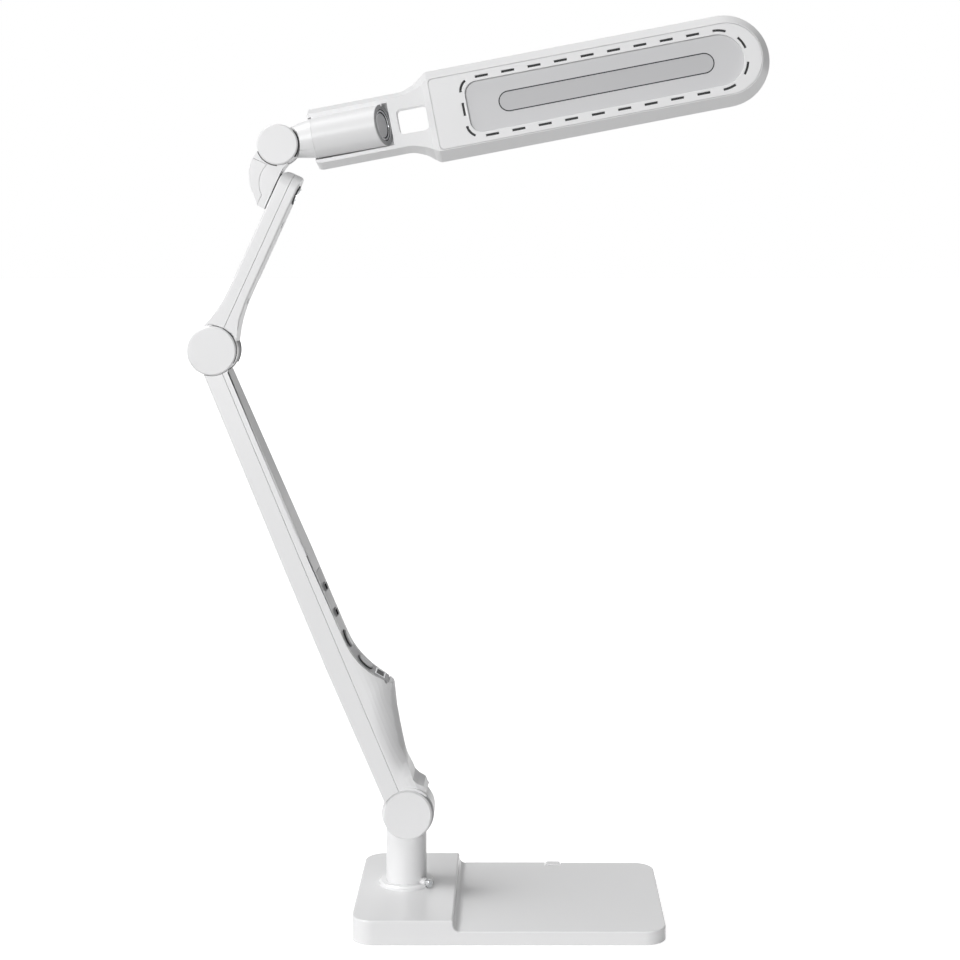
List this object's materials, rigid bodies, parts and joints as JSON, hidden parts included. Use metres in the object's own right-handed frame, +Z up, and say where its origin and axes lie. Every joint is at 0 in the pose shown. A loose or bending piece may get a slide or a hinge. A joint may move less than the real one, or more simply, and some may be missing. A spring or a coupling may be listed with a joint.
{
  "type": "folding led desk lamp",
  "caption": "Folding desk lamp: flat weighted base, short post, two hinged arms and a slim paddle-shaped light head on a turning knuckle.",
  "frame": {"origin": "on the desk, on the axis of the post", "axes": "+Z up, +X towards the side the light head reaches over, +Y away from the lit face"},
  "size_m": [0.3921, 0.1363, 0.6007],
  "materials": {
    "white_plastic": "satin white",
    "white_metal": "satin white paint",
    "arm_core": "cast, painted white",
    "weight_steel": "dull grey steel plate",
    "fastener_steel": "zinc plated",
    "bright_metal": "bright chrome",
    "washer_plastic": "natural plastic",
    "pad_rubber": "matt black",
    "dark_plastic": "glossy near black",
    "grey_plastic": "matt light grey",
    "board": "laminate with solder mask",
    "diffuser_plastic": "frosted, light grey when off",
    "lens_plastic": "frosted, darker grey when off",
    "guide_plastic": "clear acrylic",
    "reflector_sheet": "bright white sheet"
  },
  "bodies": {
    "base": {"base_shell": "white_plastic", "base_weight": "weight_steel", "base_pad": "pad_rubber", "base_screws": "fastener_steel", "power_inlet": "white_plastic", "post_socket": "white_plastic", "socket_screws": "fastener_steel"},
    "lock_screw_body": {"lock_screw": "bright_metal"},
    "post_body": {"post": "white_metal", "post_washer": "washer_plastic"},
    "lower_arm": {"lower_arm_core": "arm_core", "lower_arm_rear_shell": "white_plastic", "lower_arm_front_shell": "white_plastic", "lower_arm_screws": "fastener_steel", "control_panel": "white_plastic", "button_rings": "bright_metal", "indicator_window": "dark_plastic", "window_bezel": "bright_metal", "control_board": "board", "shoulder_caps": "white_plastic", "shoulder_bolt": "fastener_steel", "shoulder_nut": "fastener_steel", "shoulder_washers": "washer_plastic", "elbow_caps": "white_plastic", "elbow_bolt": "fastener_steel", "elbow_nut": "fastener_steel", "elbow_washers": "washer_plastic"},
    "key_up": {"button_up": "dark_plastic"},
    "key_down": {"button_down": "dark_plastic"},
    "key_colour": {"button_colour": "white_plastic"},
    "key_power": {"button_power": "white_plastic"},
    "upper_arm": {"upper_arm_core": "arm_core", "upper_arm_left_shell": "white_plastic", "upper_arm_right_shell": "white_plastic", "upper_arm_screws": "fastener_steel", "swivel_bolt": "bright_metal", "swivel_washer": "washer_plastic"},
    "knuckle": {"knuckle_bracket": "white_metal", "knuckle_cover": "white_plastic", "swivel_nut": "fastener_steel", "wrist_caps": "white_plastic", "wrist_bolt": "fastener_steel", "wrist_nut": "fastener_steel", "wrist_washers": "washer_plastic"},
    "neck_body": {"neck": "white_metal", "roll_washer": "washer_plastic", "roll_nut": "fastener_steel"},
    "head": {"barrel": "white_plastic", "barrel_cap": "grey_plastic", "barrel_ring": "bright_metal", "head_back_shell": "white_plastic", "face_frame": "white_plastic", "diffuser": "diffuser_plastic", "centre_lens": "lens_plastic", "light_guide": "guide_plastic", "reflector": "reflector_sheet", "led_board": "board", "head_screws": "fastener_steel"}
  },
  "joints": [
    {"name": "lock_screw_turn", "type": "hinge", "parent": "base", "child": "lock_screw_body", "pos_m": [0.01442, -0.01009, 0.0188], "axis": [0.8192, -0.5736, 0], "continuous": true},
    {"name": "post_swivel", "type": "hinge", "parent": "base", "child": "post_body", "pos_m": [0, 0, 0.03], "axis": [0, 0, 1], "range_deg": [-90, 90]},
    {"name": "shoulder_fold", "type": "hinge", "parent": "post_body", "child": "lower_arm", "pos_m": [0.0015, 0, 0.0653], "axis": [0, 1, 0], "range_deg": [-22, 78]},
    {"name": "press_up", "type": "slide", "parent": "lower_arm", "child": "key_up", "axis": [-0.9205, 0, -0.3907], "range_m": [0, 0.0008], "stiffness_N_per_m": 400, "springref_m": -0.0005},
    {"name": "press_down", "type": "slide", "parent": "lower_arm", "child": "key_down", "axis": [-0.9205, 0, -0.3907], "range_m": [0, 0.0008], "stiffness_N_per_m": 400, "springref_m": -0.0005},
    {"name": "press_colour", "type": "slide", "parent": "lower_arm", "child": "key_colour", "axis": [-0.9031, 0, -0.4295], "range_m": [0, 0.0008], "stiffness_N_per_m": 400, "springref_m": -0.0005},
    {"name": "press_power", "type": "slide", "parent": "lower_arm", "child": "key_power", "axis": [-0.6824, 0, -0.7309], "range_m": [0, 0.0008], "stiffness_N_per_m": 400, "springref_m": -0.0005},
    {"name": "elbow_fold", "type": "hinge", "parent": "lower_arm", "child": "upper_arm", "pos_m": [-0.12939, 0, 0.37367], "axis": [0, 1, 0], "range_deg": [-110, 60]},
    {"name": "knuckle_swivel", "type": "hinge", "parent": "upper_arm", "child": "knuckle", "pos_m": [-0.08063, 0, 0.48068], "axis": [0.91, 0, -0.4147], "range_deg": [-90, 90]},
    {"name": "wrist_tilt", "type": "hinge", "parent": "knuckle", "child": "neck_body", "pos_m": [-0.08559, 0, 0.51151], "axis": [0, 1, 0], "range_deg": [-75, 15]},
    {"name": "head_roll", "type": "hinge", "parent": "neck_body", "child": "head", "pos_m": [-0.08559, 0, 0.51151], "axis": [0.982, 0, 0.1891], "range_deg": [0, 180]}
  ]
}
